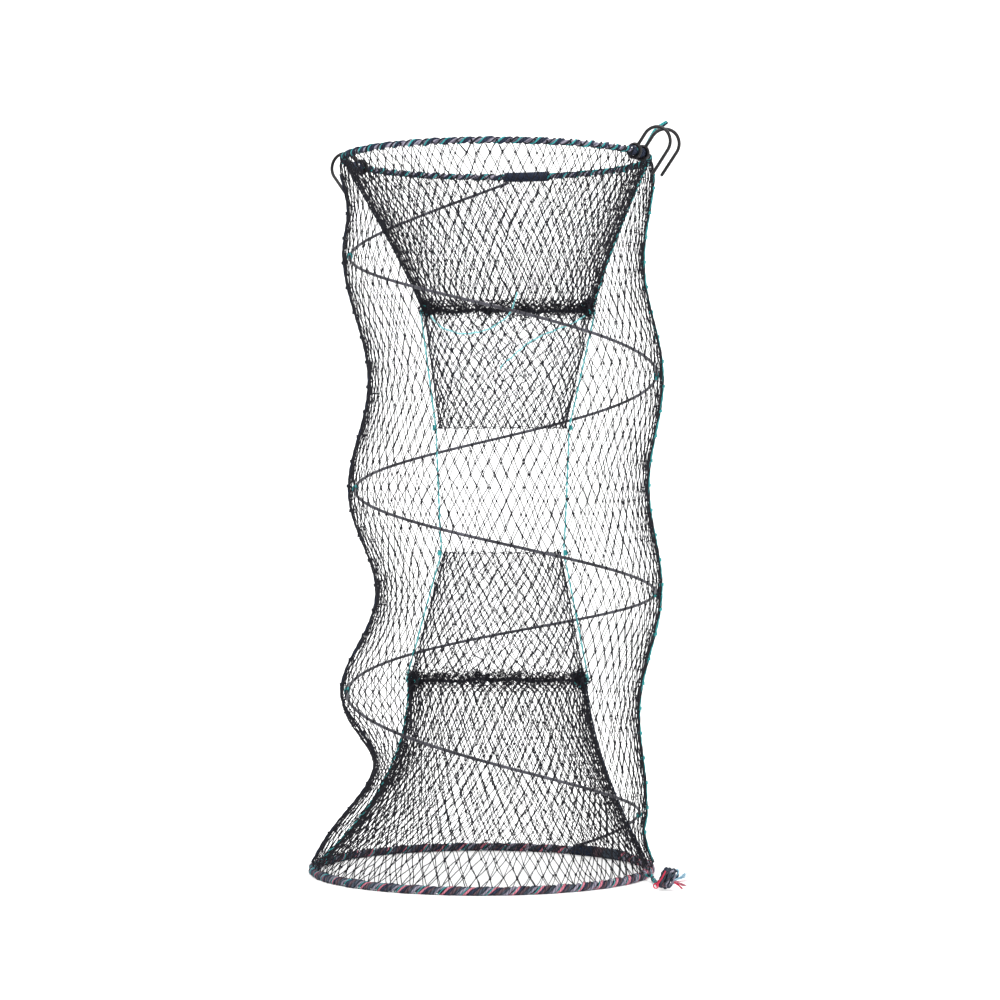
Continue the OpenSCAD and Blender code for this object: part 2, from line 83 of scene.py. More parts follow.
# The part's own values for the coil and the netting
COIL_R = 116 * MM
COIL_WIRE_R = 1.2 * MM
COIL_BOW = 9 * MM  # how far the tube's axis bows to the right
COIL_END_IN = 2 * MM  # how far inside the bottom ring the coil ends
CLEAR = 0.4 * MM
NET_OVER_COIL = 3.8 * MM
NET_SHORT_OF_RIM = 3.4 * MM
FLARE_HEIGHT = 0.06  # the netting widens to the bottom rim below this
WAIST_SHARE = 0.07  # depth of a waist, as a share of the free height of netting
SLACK_LEFT = 3  # how much deeper the waists are at the bottom left
WAIST_RISE = 1.35  # above 1, the lowest waist lies higher
# The coil's line: degrees round from +X and height
COIL_PATH = [
    (85, TOP_Z - TOP_WRAP_R - COIL_WIRE_R - CLEAR), (180, 0.472), (360, 0.380),
    (540, 0.294), (720, 0.213), (900, 0.139), (1080, 0.044),
    (1133, BOTTOM_Z + BOTTOM_WRAP_R + COIL_WIRE_R + CLEAR),
]
COIL_LEAD = 50  # degrees over which each end of the coil moves to its ring
COIL_FIRST = COIL_PATH[0][0]
COIL_LAST = COIL_PATH[-1][0]


def mix(a, b, t):
    return a + (b - a) * t


def clamp01(t):
    return max(0.0, min(1.0, t))


def axis_x(z):
    s = clamp01(z / TOP_Z)
    return COIL_BOW * math.sin(math.pi * s) + BOTTOM_X * (1 - s) ** 3


def round_axis(a, r, z):
    """The point at angle a and distance r from the tube's bowed axis."""
    turn = math.radians(a)
    return [axis_x(z) + r * math.cos(turn), r * math.sin(turn), z]


def coil_slope(k):
    a, b = COIL_PATH[max(0, k - 1)], COIL_PATH[min(len(COIL_PATH) - 1, k + 1)]
    return (b[1] - a[1]) / (b[0] - a[0])


def coil_z(a):
    k = max(i for i in range(len(COIL_PATH) - 1) if COIL_PATH[i][0] <= a)
    (a0, z0), (a1, z1) = COIL_PATH[k], COIL_PATH[k + 1]
    w = a1 - a0
    t = (a - a0) / w
    m0, m1 = coil_slope(k) * w, coil_slope(k + 1) * w
    return (
        (2 * t**3 - 3 * t * t + 1) * z0 + (t**3 - 2 * t * t + t) * m0
        + (3 * t * t - 2 * t**3) * z1 + (t**3 - t * t) * m1
    )


def coil_point(a):
    z = coil_z(a)
    r = (
        COIL_R
        + (TOP_R - COIL_R) * clamp01(1 - (a - COIL_FIRST) / COIL_LEAD) ** 2
        + (BOTTOM_R - COIL_END_IN - COIL_R) * clamp01(1 - (COIL_LAST - a) / COIL_LEAD) ** 2
    )
    return round_axis(a, r, z)


def held_heights(a):
    """Heights at angle a where a ring or a turn of the coil holds the netting."""
    turns = [a + 360 * k for k in range(4)]
    return [BOTTOM_Z, TOP_Z] + [coil_z(t) for t in turns if COIL_FIRST < t < COIL_LAST]


def net_radius(a, z):
    """The netting's distance from the axis, with a waist between each two held heights."""
    held = sorted(held_heights(a % 360))
    low = max([h for h in held if h <= z + 1e-5] or held[:1])
    high = min([h for h in held if h >= z - 1e-5] or held[-1:])
    span = high - low
    slack = 1 + SLACK_LEFT * max(0, -math.cos(math.radians(a))) * (1 - z / TOP_Z) ** 2
    out = mix(COIL_R + NET_OVER_COIL, TOP_R + TOP_WRAP_R + CLEAR, (z / TOP_Z) ** 8)
    flare = BOTTOM_R + BOTTOM_WRAP_R - COIL_R - NET_SHORT_OF_RIM
    out += flare * clamp01(1 - z / FLARE_HEIGHT) ** 2
    if span < 1e-4:
        return out
    rise = WAIST_RISE if low <= BOTTOM_Z else 1
    along = clamp01((z - low) / span) ** rise
    return out - WAIST_SHARE * span * slack * math.sin(math.pi * along) ** 2


# ---------------------------------------------------------------- mesh building


def mesh_object(name, coloured):
    """One mesh from (parts, material) pairs, where parts are vertices, faces and UVs."""
    materials = list(dict.fromkeys(material for _, material in coloured))
    verts, faces, uvs, shades = [], [], [], []
    for (v, f, uv), material in coloured:
        faces += (f + sum(map(len, verts))).tolist()
        verts.append(v)
        uvs.append(uv.reshape(-1, 2))
        shades += [materials.index(material)] * len(f)
    mesh = bpy.data.meshes.new(name)
    mesh.from_pydata(np.concatenate(verts).tolist(), [], faces)
    layer = mesh.uv_layers.new(name="UVMap")
    layer.data.foreach_set("uv", np.concatenate(uvs).astype(np.float32).reshape(-1))
    mesh.polygons.foreach_set("use_smooth", [True] * len(mesh.polygons))
    for material in materials:
        mesh.materials.append(material)
    mesh.polygons.foreach_set("material_index", shades)
    obj = bpy.data.objects.new(name, mesh)
    bpy.context.collection.objects.link(obj)
    return obj


def unit(v):
    return v / np.maximum(np.linalg.norm(v, axis=-1, keepdims=True), 1e-12)


def carried_frames(points):
    """Tangent and two side directions at each point of one line, carried along without a twist."""
    points = np.asarray(points, float)
    tangent = unit(np.gradient(points, axis=0))
    helper = np.array([0, 0, 1.0]) if abs(tangent[0][2]) < 0.9 else np.array([1.0, 0, 0])
    side = unit(np.cross(tangent[0], helper))
    sides = [side]
    for t in tangent[1:]:
        side = unit(side - t * np.dot(side, t))
        sides.append(side)
    sides = np.array(sides)
    return tangent, sides, np.cross(tangent, sides)


def tube_parts(lines, side, up, radius, corners):
    """Vertices, faces and UVs of tubes along lines (count, points, 3). UV: turns, diameters."""
    count, points = lines.shape[:2]
    turn = 2 * np.pi * np.arange(corners) / corners
    ring = np.cos(turn)[:, None] * side[..., None, :] + np.sin(turn)[:, None] * up[..., None, :]
    radius = np.broadcast_to(radius, lines.shape[:2])
    verts = lines[:, :, None, :] + radius[..., None, None] * ring
    index = np.arange(count * points * corners).reshape(count, points, corners)
    a, b = index[:, :-1], index[:, 1:]
    faces = np.stack([a, np.roll(a, -1, 2), np.roll(b, -1, 2), b], -1).reshape(-1, 4)
    length = np.linalg.norm(np.diff(lines, axis=1), axis=2).cumsum(1)
    length = np.concatenate([np.zeros((count, 1)), length], 1) / (2 * radius.mean())
    u0 = np.broadcast_to(np.arange(corners) / corners, a.shape)
    v0 = np.broadcast_to(length[:, :-1, None], a.shape)
    v1 = np.broadcast_to(length[:, 1:, None], a.shape)
    u1 = u0 + 1 / corners
    uvs = np.stack([u0, v0, u1, v0, u1, v1, u0, v1], -1).reshape(-1, 4, 2)
    return verts.reshape(-1, 3), faces, uvs


def join_parts(parts):
    verts, faces, uvs, start = [], [], [], 0
    for v, f, uv in parts:
        verts.append(v)
        faces.append(f + start)
        uvs.append(uv)
        start += len(v)
    return np.concatenate(verts), np.concatenate(faces), np.concatenate(uvs)


def short_tubes(lines, radius, corners=5):
    """Many short tubes at once, for lines too short to twist."""
    lines = np.asarray(lines, float)
    tangent = unit(np.gradient(lines, axis=1))
    steep = np.abs(tangent[:, 0, 2]) > 0.93
    helper = np.where(steep[:, None], [1.0, 0, 0], [0, 0, 1.0])[:, None, :]
    side = unit(np.cross(tangent, helper))
    return tube_parts(lines, side, np.cross(tangent, side), radius, corners)


def long_tube(points, radius, corners=10):
    """One tube along a line. radius is a number or one for each point."""
    points = np.asarray(points, float)
    _, side, up = carried_frames(points)
    radius = np.broadcast_to(radius, (len(points),))[None]
    return tube_parts(points[None], side[None], up[None], radius, corners)


def distance_along(points):
    """How far each point lies along a line from its first point."""
    return np.concatenate([[0], np.linalg.norm(np.diff(points, axis=0), axis=1).cumsum()])


def smooth_path(points, step):
    """The points joined by a smooth curve and spaced evenly, step apart."""
    p = np.asarray(points, float)
    p = np.concatenate([[2 * p[0] - p[1]], p, [2 * p[-1] - p[-2]]])
    fine = []
    for k in range(1, len(p) - 2):
        for t in np.linspace(0, 1, 12, endpoint=False):
            fine.append(
                0.5 * (
                    2 * p[k] + (p[k + 1] - p[k - 1]) * t
                    + (2 * p[k - 1] - 5 * p[k] + 4 * p[k + 1] - p[k + 2]) * t * t
                    + (3 * p[k] - p[k - 1] - 3 * p[k + 1] + p[k + 2]) * t**3
                )
            )
    fine = np.array(fine + [p[-2]])
    far = distance_along(fine)
    at = np.linspace(0, far[-1], max(3, round(far[-1] / step) + 1))
    return np.stack([np.interp(at, far, fine[:, k]) for k in range(3)], 1)


def path_length(points):
    return float(np.linalg.norm(np.diff(np.asarray(points), axis=0), axis=1).sum())


def strands(points, cord_r, count, lay, which=None):
    """Strands laid round a line, one turn in each length lay. which picks some of them."""
    points = np.asarray(points, float)
    _, side, up = carried_frames(points)
    far = distance_along(points)
    strand_r = cord_r / (1 + 1 / math.sin(math.pi / max(2, count)))
    parts = []
    for k in range(count) if which is None else which:
        turn = (2 * np.pi * (far / lay + k / count))[:, None]
        line = points + (cord_r - strand_r) * (np.cos(turn) * side + np.sin(turn) * up)
        parts.append(long_tube(line, strand_r, 6))
    return join_parts(parts)


def turns_round(points, inner_r, cord_r, pitch, corners=7):
    """A cord wound round a line like a spring, tight on a core of radius inner_r."""
    points = np.asarray(points, float)
    steps = max(12, int(path_length(points) / pitch * 16))
    line = smooth_path(points, path_length(points) / steps)
    _, side, up = carried_frames(line)
    turn = (2 * np.pi * distance_along(line) / pitch)[:, None]
    line = line + (inner_r + cord_r) * (np.cos(turn) * side + np.sin(turn) * up)
    return long_tube(line, cord_r, corners)


def knot_parts(places, radius):
    """Small lumps of twine, one at each place, each an icosahedron of its own unevenness."""
    t = (1 + 5**0.5) / 2
    shape = unit(np.array([
        [-1, t, 0], [1, t, 0], [-1, -t, 0], [1, -t, 0], [0, -1, t], [0, 1, t],
        [0, -1, -t], [0, 1, -t], [t, 0, -1], [t, 0, 1], [-t, 0, -1], [-t, 0, 1],
    ]))
    faces = np.array([
        [0, 11, 5], [0, 5, 1], [0, 1, 7], [0, 7, 10], [0, 10, 11], [1, 5, 9], [5, 11, 4],
        [11, 10, 2], [10, 7, 6], [7, 1, 8], [3, 9, 4], [3, 4, 2], [3, 2, 6], [3, 6, 8],
        [3, 8, 9], [4, 9, 5], [2, 4, 11], [6, 2, 10], [8, 6, 7], [9, 8, 1],
    ])
    places = np.asarray(places, float)
    count = len(places)
    stretch = random.uniform(0.75, 1.25, (count, 1, 3))
    jitter = random.normal(0, 0.12, (count, len(shape), 3))
    verts = places[:, None, :] + radius * (shape[None] * stretch + jitter)
    index = faces[None] + len(shape) * np.arange(count)[:, None, None]
    uvs = np.tile(np.array([[0, 0], [0.5, 0.7], [1, 0]]), (count * len(faces), 1, 1))
    return verts.reshape(-1, 3), index.reshape(-1, 3), uvs


# ---------------------------------------------------------------- materials


def new_material(name):
    material = bpy.data.materials.new(name)
    material.use_nodes = True
    nodes = material.node_tree.nodes
    nodes.clear()
    out = nodes.new("ShaderNodeOutputMaterial")
    shader = nodes.new("ShaderNodeBsdfPrincipled")
    material.node_tree.links.new(shader.outputs[0], out.inputs[0])
    return material, nodes, material.node_tree.links, shader


def maths(nodes, links, operation, a, b):
    node = nodes.new("ShaderNodeMath")
    node.operation = operation
    for socket, value in zip(node.inputs, (a, b)):
        if isinstance(value, (int, float)):
            socket.default_value = value
        else:
            links.new(value, socket)
    return node.outputs[0]


def ramp(nodes, links, value, stops):
    node = nodes.new("ShaderNodeValToRGB")
    while len(node.color_ramp.elements) < len(stops):
        node.color_ramp.elements.new(0.5)
    for element, (place, colour) in zip(node.color_ramp.elements, stops):
        element.position = place
        element.color = (*colour, 1)
    links.new(value, node.inputs[0])
    return node.outputs[0]


def noise(nodes, links, scale, detail=3):
    node = nodes.new("ShaderNodeTexNoise")
    node.inputs["Scale"].default_value = scale
    node.inputs["Detail"].default_value = detail
    place = nodes.new("ShaderNodeTexCoord")
    links.new(place.outputs["Object"], node.inputs["Vector"])
    return node.outputs[0]


PLIES = 3
PLY_SLANT = 0.7  # turns of the plies in a length of one diameter
WEAR_SCALE = 160
# How much the painted shade in the ply grooves and the random wear each set the twine's colour
PLY_GROOVE_SHADE_SHARE, WEAR_SHARE = 0.45, 0.75


def twine_material(name, dark, light):
    """Laid twine: twisted plies in the surface, painted shade in the grooves between the plies, and
    darker and paler stretches.
    """
    material, nodes, links, shader = new_material(name)
    uv = nodes.new("ShaderNodeUVMap")
    split = nodes.new("ShaderNodeSeparateXYZ")
    links.new(uv.outputs[0], split.inputs[0])
    around = maths(nodes, links, "MULTIPLY", split.outputs[0], PLIES)
    along = maths(nodes, links, "MULTIPLY", split.outputs[1], PLY_SLANT)
    phase = maths(nodes, links, "ADD", around, along)
    wave = maths(nodes, links, "SINE", maths(nodes, links, "MULTIPLY", phase, 2 * math.pi), 0)
    ply = maths(nodes, links, "MULTIPLY", maths(nodes, links, "ADD", wave, 1), 0.5)
    worn = noise(nodes, links, WEAR_SCALE)
    # Painted shade: the colour darkens in the grooves between the plies and pales on their crowns,
    # beside the random wear
    blend = maths(nodes, links, "ADD", maths(nodes, links, "MULTIPLY", ply, PLY_GROOVE_SHADE_SHARE),
                  maths(nodes, links, "MULTIPLY", worn, WEAR_SHARE))
    colour = ramp(nodes, links, blend, [(0.3, dark), (0.85, light)])
    links.new(colour, shader.inputs["Base Color"])
    bumped = nodes.new("ShaderNodeBump")
    bumped.inputs["Strength"].default_value = 0.5
    bumped.inputs["Distance"].default_value = 0.2 * MM
    links.new(ply, bumped.inputs["Height"])
    links.new(bumped.outputs[0], shader.inputs["Normal"])
    shader.inputs["Roughness"].default_value = 0.8
    shader.inputs["Specular IOR Level"].default_value = 0.2
    return material


def wire_material(name, dark, light, metallic, rough):
    """Drawn wire: darker and paler patches, and fine grain in its gloss and surface."""
    material, nodes, links, shader = new_material(name)
    patches = noise(nodes, links, 45, 4)
    fine = noise(nodes, links, 900, 2)
    links.new(ramp(nodes, links, patches, [(0.35, dark), (0.7, light)]),
              shader.inputs["Base Color"])
    roughness = maths(nodes, links, "ADD", maths(nodes, links, "MULTIPLY", fine, 0.25), rough)
    links.new(roughness, shader.inputs["Roughness"])
    bumped = nodes.new("ShaderNodeBump")
    bumped.inputs["Strength"].default_value = 0.15
    bumped.inputs["Distance"].default_value = 0.05 * MM
    links.new(fine, bumped.inputs["Height"])
    links.new(bumped.outputs[0], shader.inputs["Normal"])
    shader.inputs["Metallic"].default_value = metallic
    return material


def stage_material():
    material, nodes, links, shader = new_material("stage_pale")
    shades = [(0.3, (0.96, 0.96, 0.96)), (0.7, (0.99, 0.99, 0.99))]
    links.new(ramp(nodes, links, noise(nodes, links, 6), shades), shader.inputs["Base Color"])
    shader.inputs["Roughness"].default_value = 0.9
    return material


NET_BLACK = twine_material("net_black", (0.002, 0.002, 0.004), (0.012, 0.012, 0.018))
NET_GREY = twine_material("net_grey", (0.006, 0.006, 0.009), (0.03, 0.03, 0.04))
CORD_BLACK = twine_material("cord_black", (0.003, 0.004, 0.007), (0.02, 0.022, 0.032))
CORD_NAVY = twine_material("cord_navy", (0.004, 0.006, 0.014), (0.025, 0.035, 0.065))
CORD_TEAL = twine_material("cord_teal", (0.005, 0.1, 0.11), (0.06, 0.44, 0.45))
CORD_AQUA = twine_material("cord_aqua", (0.06, 0.32, 0.35), (0.3, 0.64, 0.66))
CORD_LILAC = twine_material("cord_lilac", (0.06, 0.055, 0.08), (0.3, 0.28, 0.35))
CORD_SLATE = twine_material("cord_slate", (0.008, 0.012, 0.02), (0.06, 0.075, 0.1))
CORD_PINK = twine_material("cord_pink", (0.2, 0.03, 0.06), (0.62, 0.22, 0.28))
CORD_BROWN = twine_material("cord_brown", (0.015, 0.009, 0.012), (0.11, 0.07, 0.085))
CORD_RED = twine_material("cord_red", (0.3, 0.01, 0.03), (0.65, 0.05, 0.1))
CORD_PALE_BLUE = twine_material("cord_pale_blue", (0.12, 0.25, 0.36), (0.4, 0.6, 0.7))
COIL_STEEL = wire_material("coil_steel", (0.02, 0.02, 0.026), (0.09, 0.09, 0.11), 0.5, 0.35)
HOOK_STEEL = wire_material("hook_steel", (0.002, 0.002, 0.003), (0.012, 0.01, 0.012), 0.38, 0.2)

# ---------------------------------------------------------------- placing pieces


def piece(name, coloured, body, slot, replaces=(), deforms=False):
    """One piece of the object: it rides its body, and a piece that deforms gets a mesh of its own.
    """
    obj = mesh_object(name, coloured)
    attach(obj, body)
    if deforms:
        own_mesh(obj)
    if replaces:
        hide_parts(*replaces)
    return obj


LOWEST = 0.1 * MM


def above_floor(parts):
    """The parts, pressed flat where they would go through the floor."""
    verts, faces, uvs = parts
    verts = verts.copy()
    verts[:, 2] = np.maximum(verts[:, 2], LOWEST)
    return verts, faces, uvs


# ---------------------------------------------------------------- camera

camera = bpy.data.objects.new("camera", bpy.data.cameras.new("camera"))
bpy.context.collection.objects.link(camera)
camera.location = (0.003, -2.13, 0.285)
camera.rotation_euler = (math.radians(90), 0, 0)
camera.data.lens = 100
camera.data.sensor_width = 36
bpy.context.scene.camera = camera

# ---------------------------------------------------------------- loose cord ends

THROAT_TAIL_LEFT_ROUTE = [
    (-50, -6, 426), (-48, -6, 423), (-46, -7, 421), (-43, -7, 418), (-40, -8, 416),
    (-37, -8, 415), (-34, -9, 414), (-31, -9, 413), (-28, -10, 412), (-24, -10, 412),
    (-20, -10, 412), (-16, -10, 413), (-13, -11, 413), (-10, -11, 414), (-7, -11, 415),
    (-4, -12, 416), (-1, -12, 418), (2, -12, 420), (5, -12, 422), (8, -13, 424),
    (10, -13, 427), (12, -14, 430), (13, -14, 433), (14, -15, 436), (15, -16, 439),
    (16, -18, 443),
]
THROAT_TAIL_RIGHT_ROUTE = [
    (68, -6, 426), (65, -6, 424), (62, -7, 422), (58, -7, 420), (54, -8, 418),
    (51, -9, 417), (48, -10, 416), (44, -10, 414), (41, -11, 413), (38, -11, 412),
    (34, -11, 410), (31, -11, 408), (28, -11, 407), (25, -11, 405), (22, -11, 403),
    (19, -11, 400), (16, -11, 398), (14, -11, 396), (11, -11, 393), (8, -11, 391),
    (6, -11, 389), (4, -10, 387), (3, -10, 385),
]
TENSION_R = size("tension_cord_left").y / 2


def loose_end(name, node, route):
    path = smooth_path(np.array(route) * MM, 1 * MM)
    end = piece(name, [(long_tube(path, TENSION_R, 10), CORD_AQUA)], "top_throat", "teal_twine",
                [node])


loose_end("throat_loose_end_left", "throat_tail_left", THROAT_TAIL_LEFT_ROUTE)
loose_end("throat_loose_end_right", "throat_tail_right", THROAT_TAIL_RIGHT_ROUTE)

# ---------------------------------------------------------------- netting

TWINE_BEND = 0.2 * MM  # how unevenly each length of twine bows


def net_parts(surface, columns, levels, twine_r, knot_r, wobble):
    """Diamond netting on surface(u, v): u goes round once, and levels are the rows of knots."""
    rows = len(levels) - 1
    gap = np.gradient(levels)
    v_jitter = random.normal(0, wobble, (rows + 1, columns)) * gap[:, None]
    u_jitter = random.normal(0, wobble, (rows + 1, columns)) / columns
    v_jitter[0] = v_jitter[-1] = 0

    def place(j, i):
        u = (i + 0.5 * (j % 2)) / columns + u_jitter[j, i % columns]
        return u, clamp01(levels[j] + v_jitter[j, i % columns])

    lines, knots = [], []
    for j in range(rows + 1):
        for i in range(columns):
            u0, v0 = place(j, i)
            knots.append(surface(u0, v0))
            if j == rows:
                continue
            for step in ((0, 1) if j % 2 else (-1, 0)):
                u1, v1 = place(j + 1, i + step)
                half = np.array(surface((u0 + u1) / 2, (v0 + v1) / 2))
                half += random.normal(0, TWINE_BEND, 3)
                lines.append([knots[-1], half, surface(u1, v1)])
    return short_tubes(lines, twine_r, 4), knot_parts(knots, knot_r)


def net(name, surface, columns, levels, nodes, material=NET_BLACK, twine_r=0.34 * MM,
        knot_r=0.88 * MM, wobble=0.07):
    """A whole net: its twine and its knots."""
    tubes, knots = net_parts(surface, columns, levels, twine_r, knot_r, wobble)
    piece(name, [(tubes, material), (knots, material)], "base", "dark_twine", nodes,
          deforms=True)


NET_COLUMNS = 80
NET_T = 0.8 * MM
NET_INTO_RIM = 1.5 * MM  # how far outside a ring's middle line the netting ends in its cord
EDGE_SHARE = 0.012


def outer_surface(u, v):
    """From the bottom ring (v = 0) up to the top ring (v = 1)."""
    z = mix(BOTTOM_Z, TOP_Z, v)
    a = 360 * u
    r = net_radius(a, z) + NET_T / 2
    r = mix(r, BOTTOM_R + NET_INTO_RIM, clamp01(1 - v / EDGE_SHARE))
    r = mix(r, TOP_R + NET_INTO_RIM, clamp01((v - (1 - EDGE_SHARE)) / EDGE_SHARE))
    return round_axis(a, r, z)


OUTER_LEVELS = np.linspace(0, 1, 55)
net("outer_net", outer_surface, NET_COLUMNS, OUTER_LEVELS, ["outer_net_front", "outer_net_back"])

TOP_THROAT = middle("top_throat_gather")
TOP_THROAT_SIZE = size("top_throat_gather")
BOTTOM_THROAT = middle("bottom_throat_gather")
BOTTOM_THROAT_SIZE = size("bottom_throat_gather")
TOP_MOUTH = middle("top_mouth_line")
TOP_MOUTH_SIZE = size("top_mouth_line")
BOTTOM_MOUTH = middle("bottom_mouth_line")
BOTTOM_MOUTH_SIZE = size("bottom_mouth_line")
SLEEVE_BELLY = 3 * MM
THROAT_IN = 1.2 * MM  # how far inside a throat's outline its netting ends
# How a funnel's sides curve in from its ring: above 1, mostly near the ring
TOP_SIDES, BOTTOM_LEFT_SIDE, BOTTOM_RIGHT_SIDE = 1.15, 2.2, 1.6


def oval(cx, a, b, z, u):
    turn = 2 * math.pi * u
    return [cx + a * math.cos(turn), b * math.sin(turn), z]


def top_funnel_surface(u, v):
    """From the throat (v = 0) up to the ring (v = 1)."""
    a = mix(TOP_THROAT_SIZE.x / 2 - THROAT_IN, TOP_R - 1 * MM, v**TOP_SIDES)
    b = mix(TOP_THROAT_SIZE.y / 2 - THROAT_IN, TOP_R - 1 * MM, v)
    return oval(TOP_THROAT.x * (1 - v), a, b, mix(TOP_THROAT.z, TOP_Z - 1 * MM, v), u)


def bottom_funnel_surface(u, v):
    """From the ring (v = 0) up to the throat (v = 1)."""
    half = BOTTOM_THROAT_SIZE.x / 2 - THROAT_IN
    ring = BOTTOM_R - 2 * MM
    left = mix(BOTTOM_THROAT.x - half, BOTTOM_X - ring, (1 - v) ** BOTTOM_LEFT_SIDE)
    right = mix(BOTTOM_THROAT.x + half, BOTTOM_X + ring, (1 - v) ** BOTTOM_RIGHT_SIDE)
    b = mix(ring, BOTTOM_THROAT_SIZE.y / 2 - THROAT_IN, v)
    z = mix(BOTTOM_Z + 2 * MM, BOTTOM_THROAT.z, v)
    return oval((left + right) / 2, (right - left) / 2, b, z, u)


def sleeve_surface(low, low_size, high, high_size):
    """A flat sleeve that bellies out between its lower and its upper opening."""
    def surface(u, v):
        belly = SLEEVE_BELLY * math.sin(math.pi * v)
        a = mix(low_size.x, high_size.x, v) / 2 - THROAT_IN
        b = mix(low_size.y, high_size.y, v) / 2 - THROAT_IN + belly
        return oval(mix(low.x, high.x, v), a, b, mix(low.z, high.z, v), u)
    return surface


def gathered(loose_rows, tight_rows, share):
    """Levels of a funnel's rows of knots from its throat: tight_rows in the first share."""
    tight = np.linspace(0, share, tight_rows + 1)
    return np.concatenate([tight[:-1], np.linspace(share, 1, loose_rows + 1)])


TOP_LEVELS = gathered(loose_rows=16, tight_rows=4, share=0.08)
BOTTOM_LEVELS = 1 - gathered(loose_rows=21, tight_rows=4, share=0.07)[::-1]
net("top_funnel", top_funnel_surface, NET_COLUMNS, TOP_LEVELS, ["top_funnel_net"])
net("bottom_funnel", bottom_funnel_surface, NET_COLUMNS, BOTTOM_LEVELS, ["bottom_funnel_net"])
SLEEVE_COLUMNS = 44
SLEEVE_LEVELS = np.linspace(0, 1, 21)
# Each sleeve: piece, node, and its lower and upper opening
SLEEVES = [
    ("top_sleeve", "top_sleeve_net", TOP_MOUTH, TOP_MOUTH_SIZE, TOP_THROAT, TOP_THROAT_SIZE),
    ("bottom_sleeve", "bottom_sleeve_net",
     BOTTOM_THROAT, BOTTOM_THROAT_SIZE, BOTTOM_MOUTH, BOTTOM_MOUTH_SIZE),
]
for name, node, *openings in SLEEVES:
    net(name, sleeve_surface(*openings), SLEEVE_COLUMNS, SLEEVE_LEVELS, [node], NET_GREY,
        twine_r=0.27 * MM, knot_r=0.72 * MM, wobble=0.1)

# ---------------------------------------------------------------- coil, lacing and tight cords

coil_line = [coil_point(a) for a in np.linspace(COIL_FIRST, COIL_LAST - 0.01, 330)]
piece("coil_spring", [(long_tube(coil_line, COIL_WIRE_R, 12), COIL_STEEL)], "base", "wire",
      ["coil_spring_wire"], deforms=True)


def laid_cord(path, cord_r, shades, lay):
    """The strands of a laid cord along a path, with a material for each strand."""
    return [(strands(path, cord_r, len(shades), lay, [k]), shade)
            for k, shade in enumerate(shades)]


def tight_cord(name, points, cord_r, shades, body="base", replaces=(), slot="teal_twine",
               deforms=True, lay=7 * MM):
    """A laid cord through points, as one piece."""
    path = smooth_path(points, 0.9 * MM)
    piece(name, laid_cord(path, cord_r, shades, lay), body, slot, replaces, deforms=deforms)


LACING_R = 1.0 * MM
SEAM_OUT = 1.1 * MM
HITCH_CORE_R = 0.8 * MM
HITCH_CORD_R = 0.55 * MM
HITCH_PITCH = 1.2 * MM  # two turns of this pitch make a hitch
FIRST_HITCH, LAST_HITCH, HITCH_SPACING = 0.03, 0.53, 19 * MM


def seam_line(a, low, high, step):
    """Points on the side seam at angle a, up the netting."""
    return [round_axis(a, net_radius(a, z) + SEAM_OUT, z) for z in np.arange(low, high, step)]


def hitches(name, a, material, slot):
    """Half hitches of a lacing cord, evenly up a side seam."""
    parts = []
    for centre in np.array(seam_line(a, FIRST_HITCH, LAST_HITCH, HITCH_SPACING)):
        line = [centre + [0, 0, -HITCH_PITCH], centre, centre + [0, 0, HITCH_PITCH]]
        parts.append(turns_round(line, HITCH_CORE_R, HITCH_CORD_R, HITCH_PITCH))
    piece(name, [(join_parts(parts), material)], "base", slot, deforms=True)


# Each side seam: name, angle, its cord's strands, the material of its hitches, and the slot
SEAMS = [
    ("right", 0, [CORD_TEAL, CORD_TEAL, CORD_BLACK], CORD_TEAL, "teal_twine"),
    ("left", 180, [CORD_BLACK, CORD_BLACK, CORD_NAVY], CORD_BLACK, "navy_rope"),
]
for side, angle, shades, hitch_shade, slot in SEAMS:
    tight_cord(f"lacing_{side}",
               seam_line(angle, low=BOTTOM_Z + 4 * MM, high=TOP_Z, step=12 * MM),
               LACING_R, shades, replaces=[f"side_lacing_{side}"], slot=slot, lay=22 * MM)
    hitches(f"lacing_{side}_hitches", angle, hitch_shade, slot)

EDGE_OUT = 1.2 * MM


def funnel_edge(name, surface, u, shades, node, slot):
    """The cord down one side of a funnel: u is 0 at the right and 0.5 at the left."""
    points = []
    for v in np.linspace(0.02, 0.98, 14):
        x, y, z = surface(u, v)
        points.append([x + (EDGE_OUT if u == 0 else -EDGE_OUT), y, z])
    tight_cord(name, points, LACING_R, shades, replaces=[node], slot=slot)


funnel_edge("top_funnel_edge_dark", top_funnel_surface, 0.5, [CORD_BLACK, CORD_BLACK],
            "top_funnel_edge_left", "dark_twine")
funnel_edge("top_funnel_edge_teal", top_funnel_surface, 0, [CORD_TEAL, CORD_BLACK],
            "top_funnel_edge_right", "teal_twine")
funnel_edge("bottom_funnel_edge_teal", bottom_funnel_surface, 0.5, [CORD_TEAL, CORD_BLACK],
            "bottom_funnel_edge_left", "teal_twine")
funnel_edge("bottom_funnel_edge_dark", bottom_funnel_surface, 0, [CORD_BLACK, CORD_NAVY],
            "bottom_funnel_edge_right", "dark_twine")


def tension_points(side):
    """The tension cord on one side (-1 left, 1 right), from the bottom throat to the top one."""
    stops = [(BOTTOM_THROAT, BOTTOM_THROAT_SIZE), (BOTTOM_MOUTH, BOTTOM_MOUTH_SIZE),
             (TOP_MOUTH, TOP_MOUTH_SIZE), (TOP_THROAT, TOP_THROAT_SIZE)]
    return [[m.x + side * (s.x / 2 + 1.6 * MM), 0, m.z] for m, s in stops]


def even_points(points, count):
    """More points on the straight lines between the given ones."""
    p = np.asarray(points, float)
    at = np.linspace(0, len(p) - 1, count)
    return np.stack([np.interp(at, np.arange(len(p)), p[:, k]) for k in range(3)], 1)


